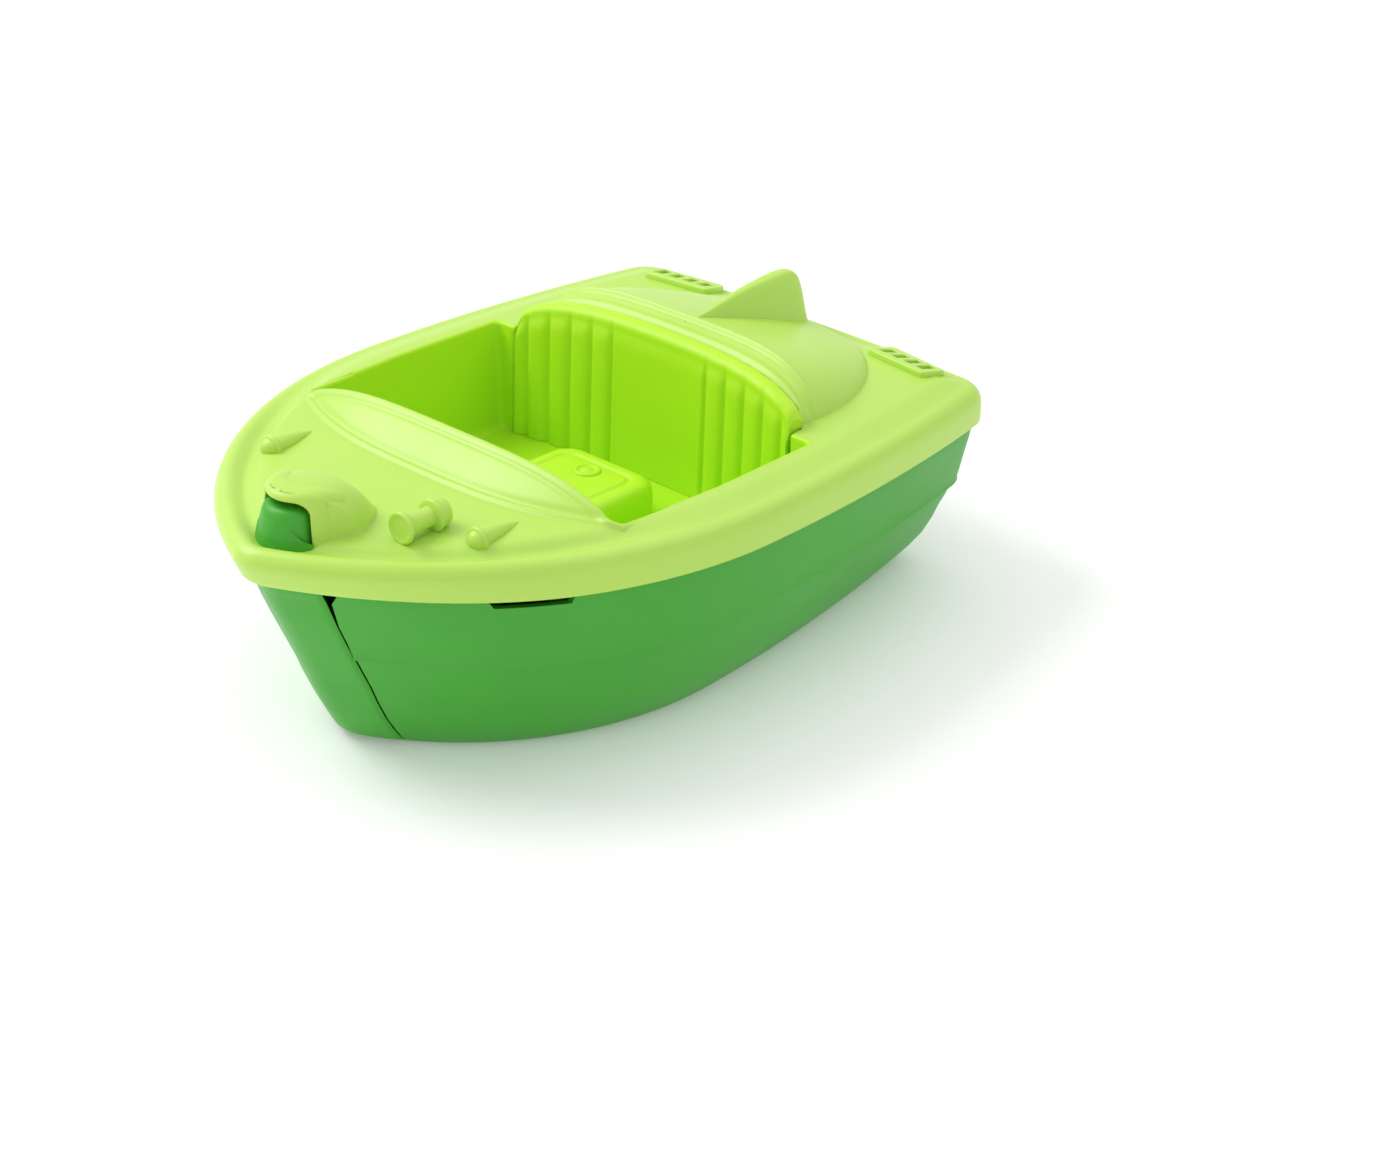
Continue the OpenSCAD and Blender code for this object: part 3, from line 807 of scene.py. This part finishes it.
FIN_START, FIN_END = 60.0, 116.2
FIN_ROUND_Y = 111.0             # where the rear starts to round off
FIN_ROUND_LEN = 5.6
FIN_CREST = [(60, 18.2), (64, 18.3), (70, 18.9), (77, 20.3), (84, 21.6), (91, 22.5), (98, 23.0),
             (104, 23.2), (108, 23.0), (110.5, 22.4), (112.5, 20.8), (114.5, 16.5), (116.2, 7.0)]


def fin():
    """Tail fin: an S-curved top edge, rounded crest and steep rounded rear."""
    stations = np.concatenate([np.linspace(FIN_START, 104, 34), np.linspace(105, FIN_END, 18)])
    crest_y, crest_h = zip(*FIN_CREST)
    rings = []
    for y in stations:
        crest = np.interp(y, crest_y, crest_h)
        ground = float(deck_height(np.array(0.0), np.array(min(y, 118.0)))) - 2.5
        wide = 1.2 + 5.6 * ease(FIN_START, 112, y)
        if y > FIN_ROUND_Y:
            wide *= math.sqrt(max(1 - ((y - FIN_ROUND_Y) / FIN_ROUND_LEN) ** 2, 0.02))
        t = np.linspace(-1, 1, 41)
        rise = np.clip(1 - np.abs(t) ** 3.2, 0, 1) ** 0.8
        flare = 1 + 0.28 * (1 - rise) ** 3
        slim = 1 - 0.45 * rise
        x = wide * np.sign(t) * np.abs(t) ** 0.9 * flare * (0.55 + 0.45 * slim)
        rings.append(np.column_stack([x, np.full_like(t, y), ground + (crest - ground) * rise]))
    obj = loft("tail_fin_skin", place(np.array(rings)), DECK_GREEN, "topside", closed=False,
               smooth_angle=60, cap_last=True, flip=True)
    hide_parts("tail_fin")


# ---------- bow button, its lip and the stem tongue ----------

def mouth_plan(grow):
    """Outline (x, h) of the hood's mouth, moved outward by grow."""
    low, high = BUTTON_LOW - 0.3 - grow, BUTTON_LOW + BUTTON_H + 0.6 + grow
    wide, narrow = BUTTON_W / 2 + 0.6 + grow, BUTTON_W / 2 - 1.6 + grow
    corner, top_corner = 3.0 + grow, 4.2 + 0.6 * grow
    outline = rounded([(-wide, low), (wide, low), (narrow, high), (-narrow, high)],
                      [corner, corner, top_corner, top_corner], 14)
    return resample(outline, MOUTH_POINTS)


def on_face(outline, depth):
    """Points of an (x, h) outline on the leaning face, moved aft by depth."""
    x, h = outline[:, 0], outline[:, 1]
    return np.column_stack([x, face_y(x, h) + depth, h])


def mouth_lip():
    """Rounded lip round the mouth of the hood; its lower edge is short, to clear the neck."""
    rows = [(1.6, 9.0), (1.2, 5.0), (0.4, 2.4), (0.05, 1.2), (0.12, 0.6), (0.45, 0.15),
            (0.95, -0.1), (1.6, 0.0), (2.2, 0.4), (2.65, 1.1), (2.95, 2.2), (3.2, 4.2),
            (3.2, 6.2), (2.6, 9.0), (1.4, 12.0)]
    low_reach = 0.9
    rings = []
    for g, d in rows:
        outline = mouth_plan(g)
        full = 1 - ease(BUTTON_LOW + 3, BUTTON_LOW + 1, outline[:, 1])
        least = min(d, low_reach)
        rings.append(on_face(outline, least + (d - least) * full))
    obj = loft("bow_hood_lip", place(np.array(rings)), DECK_GREEN, "topside", smooth_angle=60)


def hull_levels():
    """Key levels of the hull: height, share of the sheer, half width, bow, stern."""
    flat = 59.0
    top = DECK_Z - RIM_H - SEAM
    return np.array([
        (0, 0, flat, -85, 110), (0.25, 0, flat + 1.2, -86, 111.2),
        (1, 0, flat + 2.3, -87, 112.5), (2.1, 0, flat + 3.5, -88.5, 113.8),
        (3.5, 0, flat + 4.8, -90, 115), (7, 0, flat + 7.6, -92, 117),
        (12, 0, flat + 11, -94.5, 118.8),
        (CHINE_Z - 16, 0.15, HALF_W - 14.2, -97.6, 119.9),
        (CHINE_Z - 10, 0.25, HALF_W - 12, -100, 120.5),
        (CHINE_Z - 5, 0.4, HALF_W - 9.8, -102.5, 120.8),
        (CHINE_Z - 0.5, 0.5, HALF_W - 6.6 - CHINE_STEP, -104.8, 121.0),
        (CHINE_Z - 0.15, 0.5, HALF_W - 6.5 - CHINE_STEP, -105, 121.0),
        (CHINE_Z + 0.15, 0.5, HALF_W - 6.7 - CHINE_STEP / 2, -105.5, 121),
        (CHINE_Z + 0.5, 0.5, HALF_W - 6.5, -106.2, 121.4),
        (CHINE_Z + 0.9, 0.5, HALF_W - 6.3, -106.2, 121.6),
        (CHINE_Z + 1.7, 0.52, HALF_W - 6.5, -106.2, 121.5),
        (CHINE_Z + 6, 0.62, HALF_W - 5.6, -108, 121.8),
        (CHINE_Z + 12, 0.75, HALF_W - 4.4, -111, 122.1),
        (top - 5, 0.95, HALF_W - 2.8, -114.6, 122.5),
        (top - 2.2, 1.0, HALF_W - 2.3, -116.2, 122.58), (top, 1.0, HALF_W - 2.2, -116.7, 122.6)])


def slot_edge(z, top):
    """Half width of the slot that the tongue fills; it opens near the rim."""
    return TONGUE_W / 2 + SLOT_GAP + SLOT_FLARE * ease(top - 7, top - 1.0, z)


SLOT_GAP = 0.45                 # between the tongue and each edge of its slot
SLOT_FLARE = 3.6                # how much wider the slot is at the rim, on each side
FOOT_Z = 1.6                    # the slot starts above this height
SNAP_WINDOW_Y = (-81.0, -60.0)
SNAP_WINDOW_H = 3.2
HULL_WALL = 2.2
SIDE_POINTS, STEM_POINTS = 520, 40


def hull_ring(level, top, wall):
    """One closed ring of the hull, port slot edge round the stern and across the stem."""
    z, share, w, bow, stern = level
    w, bow, stern = w - wall, bow + wall, stern - wall
    edge = slot_edge(z, top)
    half = half_plan(w, bow, stern, CORNER_R, edge)
    side = np.vstack([half, half[-2::-1] * [-1, 1]])
    s = np.concatenate([[0], np.cumsum(np.linalg.norm(np.diff(side, axis=0), axis=1))])
    t = np.linspace(0, s[-1], SIDE_POINTS)
    side = np.stack([np.interp(t, s, side[:, i]) for i in (0, 1)], -1)
    x = np.linspace(-edge, edge, STEM_POINTS + 2)[1:-1]
    ring = np.vstack([side, np.column_stack([x, bow_station(x, w, bow, stern)])])
    height = z + wall * np.clip(1 - z / 12, 0, 1) - share * math.tan(SHEER) * ring[:, 1]
    if z > top - 2.3:
        lo, hi = SNAP_WINDOW_Y
        notch = ease(lo, lo + 0.8, ring[:, 1]) * ease(hi, hi - 0.8, ring[:, 1])
        height -= SNAP_WINDOW_H * notch * (np.abs(ring[:, 0]) > 40)
    return np.column_stack([ring, height])


def bow_station(x, w, bow, stern):
    """Station of the outline across the stem at x."""
    rb, nose, nose_y, *_ = plan_arcs(w, bow, stern, CORNER_R)
    ax = np.abs(x)
    y_nose = nose_y - np.sqrt(np.maximum(CORNER_R ** 2 - ax ** 2, 0))
    y_arc = WIDEST_Y - np.sqrt(np.maximum(rb ** 2 - (ax - w + rb) ** 2, 0))
    return np.where(ax < CORNER_R * math.sin(nose), y_nose, y_arc)


def hull_skin():
    """Hull wall with its chine, the stem slot and the snap windows under the rim."""
    levels = hull_levels()
    top = levels[-1, 0]
    rings = np.array([[hull_ring(level, top, wall) for level in levels]
                      for wall in (0.0, HULL_WALL)]) * MM
    count, n = len(levels), SIDE_POINTS + STEM_POINTS

    def v(wall, k, i):
        return (wall * count + k) * n + i % n

    faces = []
    foot = int(np.argmax(levels[:, 0] > FOOT_Z))
    for k in range(count - 1):
        last = SIDE_POINTS - 1 if k >= foot else n
        for i in range(last):
            faces.append([v(0, k, i), v(0, k, i + 1), v(0, k + 1, i + 1), v(0, k + 1, i)])
            faces.append([v(1, k, i), v(1, k + 1, i), v(1, k + 1, i + 1), v(1, k, i + 1)])
        # the wall's edges at the two sides of the slot
        if k >= foot:
            for i, flip in ((SIDE_POINTS - 1, 1), (0, -1)):
                quad = [v(0, k, i), v(1, k, i), v(1, k + 1, i), v(0, k + 1, i)]
                faces.append(quad[::flip])
    # the rim of the wall, then the slot's foot, then the bottom's two faces
    k = count - 1
    for i in range(SIDE_POINTS - 1):
        faces.append([v(0, k, i), v(0, k, i + 1), v(1, k, i + 1), v(1, k, i)])
    for i in range(SIDE_POINTS - 1, n):
        faces.append([v(0, foot, i), v(0, foot, i + 1), v(1, foot, i + 1), v(1, foot, i)])
    faces.append([v(0, 0, i) for i in range(n)][::-1])
    faces.append([v(1, 0, i) for i in range(n)])
    obj = make_object("boat_hull_skin", rings.reshape(-1, 3), faces, HULL_GREEN, "hull",
                      smooth_angle=38)
    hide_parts("boat_hull")


TONGUE_PROUD = 1.1
TONGUE_WALL = 2.0
TONGUE_EDGE = 0.93              # share of the half width where the edge rounds back


def stem_tongue():
    """Spring tongue that runs up the stem and carries the button."""
    levels = hull_levels()
    top = levels[-1, 0]
    levels = levels[(levels[:, 0] < CHINE_Z - 6) | (levels[:, 0] > CHINE_Z + 5)]
    fine_z = np.linspace(FOOT_Z + 0.6, top + 2.0, 90)
    cols = [np.interp(fine_z, levels[:, 0], levels[:, i]) for i in range(1, 5)]
    u = np.concatenate([[-1.0, -0.996, -0.985, -0.965, -0.94], np.linspace(-0.9, 0.9, 49),
                        [0.94, 0.965, 0.985, 0.996, 1.0]])
    past = np.maximum(np.abs(u) - TONGUE_EDGE, 0) / (1 - TONGUE_EDGE)
    back = (past ** 2 - 1) * TONGUE_PROUD
    x = TONGUE_W / 2 * u
    rows = []
    for z, share, w, bow, stern in zip(fine_z, *cols):
        y = bow_station(x, w, bow, stern)
        rows.append(np.column_stack([x, y + back, z - share * math.tan(SHEER) * y]))
    obj = loft("bow_latch_skin", np.array(rows) * MM, HULL_GREEN, "latch", closed=False,
               smooth_angle=60)
    thicken(obj, TONGUE_WALL)


BUTTON_DROP = 0.9               # leaves a gap under the hood's lip for the press
BUTTON_SHRINK = 0.88            # the button's height as a share of the mouth's


def button():
    """Push button: a domed pad with soft edges that fills the mouth of the hood."""
    rows = [(-1.2, 6.0), (-1.2, 2.2), (-1.3, 1.0), (-1.6, 0.3), (-2.1, -0.2), (-2.9, -0.6),
            (-4.0, -0.9), (-5.4, -1.1)]
    rings = [on_face(mouth_plan(g), d) for g, d in rows]
    edge, depth = mouth_plan(rows[-1][0]), rows[-1][1]
    middle = edge.mean(axis=0)
    for k in (0.75, 0.5, 0.25, 0.02):
        rings.append(on_face(middle + (edge - middle) * k, depth - 0.3 * (1 - k * k)))
    rings = np.array(rings)
    crest = rings[:, :, 2].max()
    rings[:, :, 2] = crest - BUTTON_DROP - (crest - rings[:, :, 2]) * BUTTON_SHRINK
    obj = loft("bow_button", place(rings), HULL_GREEN, "latch", cap_last=True,
               smooth_angle=60)
    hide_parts("bow_latch")


NECK_HALF_W = 8.0
NECK_NOSE = 3.2                 # how far its front bulges forward in the middle


def button_neck():
    """Neck that joins the button to the top of the tongue; rows are (height, front, back)."""
    rows = [(-16.5, -111.6, -108.4), (-9.5, -111.6, -108.4), (-6.5, -111.4, -108.2),
            (0.0, -110.8, -107.8), (4.0, -109.8, -107.0)]
    rings = []
    for h, front, back in rows:
        w = NECK_HALF_W
        outline = rounded([(-w, front), (0, front - NECK_NOSE), (w, front), (w, back),
                           (-w, back)], 1.2, 5)
        rings.append(np.column_stack([outline, np.full(len(outline), h)]))
    obj = loft("bow_latch_neck", place(np.array(rings)), HULL_GREEN, "latch", cap_first=True,
               cap_last=True)


# painted shade: the dark green of the vent slot floors stands for the shadow inside the slots
SLOT_PAINTED_SHADE = plastic("vent_slot_painted_shade", (0.10, 0.26, 0.010), (0.08, 0.22, 0.008),
                    rough=0.6, glow=0.0)

field_skin()
rim_skin()
tub_skin()
seat_skin()
console_skin()
nav_light(-1, "nav_light_starboard")
nav_light(1, "nav_light_port")
horn()
vent(-1, "vent_starboard")
vent(1, "vent_port")
fin()
mouth_lip()
hull_skin()
stem_tongue()
button()
button_neck()

for name in ("stern_hook_starboard", "stern_hook_port"):
    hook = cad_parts[name]
    hook.data.materials.clear()
    hook.data.materials.append(DECK_GREEN)

# ---------- stage, light and camera ----------

floor_mesh = bpy.data.meshes.new("studio_floor")
FLOOR_HALF = 6.0
FLOOR_GLOW = 0.14               # keeps the paper near white
WORLD_LIGHT = 0.78
corners = [(-1, -1), (1, -1), (1, 1), (-1, 1)]
floor_mesh.from_pydata([(FLOOR_HALF * x, FLOOR_HALF * y, 0) for x, y in corners], [],
                       [(0, 1, 2, 3)])
floor = bpy.data.objects.new("studio_floor", floor_mesh)
bpy.context.scene.collection.objects.link(floor)
paper = bpy.data.materials.new("studio_paper")
paper.use_nodes = True
paper_shader = paper.node_tree.nodes["Principled BSDF"].inputs
paper_shader["Base Color"].default_value = (0.9, 0.9, 0.9, 1)
paper_shader["Emission Color"].default_value = (1, 1, 1, 1)
paper_shader["Emission Strength"].default_value = FLOOR_GLOW
paper_shader["Roughness"].default_value = 0.7
floor_mesh.materials.append(paper)

world = bpy.data.worlds.new("studio")
world.use_nodes = True
world.node_tree.nodes["Background"].inputs["Color"].default_value = (1, 1, 1, 1)
world.node_tree.nodes["Background"].inputs["Strength"].default_value = WORLD_LIGHT
bpy.context.scene.world = world


LIGHT_TARGET = Vector((0, 0, 0.05))


def softbox(name, where, width, power):
    """A square area light that faces the boat."""
    data = bpy.data.lights.new(name, "AREA")
    data.size = width
    data.energy = power
    lamp = bpy.data.objects.new(name, data)
    bpy.context.scene.collection.objects.link(lamp)
    lamp.location = where
    lamp.rotation_euler = (LIGHT_TARGET - Vector(where)).to_track_quat("-Z", "Y").to_euler()


softbox("key", (-0.75, -0.35, 1.0), 0.7, 9)
softbox("top", (0.25, 0.55, 1.3), 1.2, 3)

AZIMUTH = math.radians(42.1)
ELEVATION = math.radians(28.7)
DISTANCE = 0.931
AIM = Vector((0.0963, -0.0418, 0.0705))
SENSOR = 36.0
LENS = 85.7142857
back = Vector((math.sin(AZIMUTH) * math.cos(ELEVATION), -math.cos(AZIMUTH) * math.cos(ELEVATION),
               math.sin(ELEVATION)))
camera_data = bpy.data.cameras.new("camera")
camera_data.sensor_width = SENSOR
camera_data.lens = LENS
camera = bpy.data.objects.new("camera", camera_data)
bpy.context.scene.collection.objects.link(camera)
camera.location = AIM + back * DISTANCE
camera.rotation_euler = back.to_track_quat("Z", "Y").to_euler()
bpy.context.scene.camera = camera
bpy.context.scene.view_settings.view_transform = "Standard"
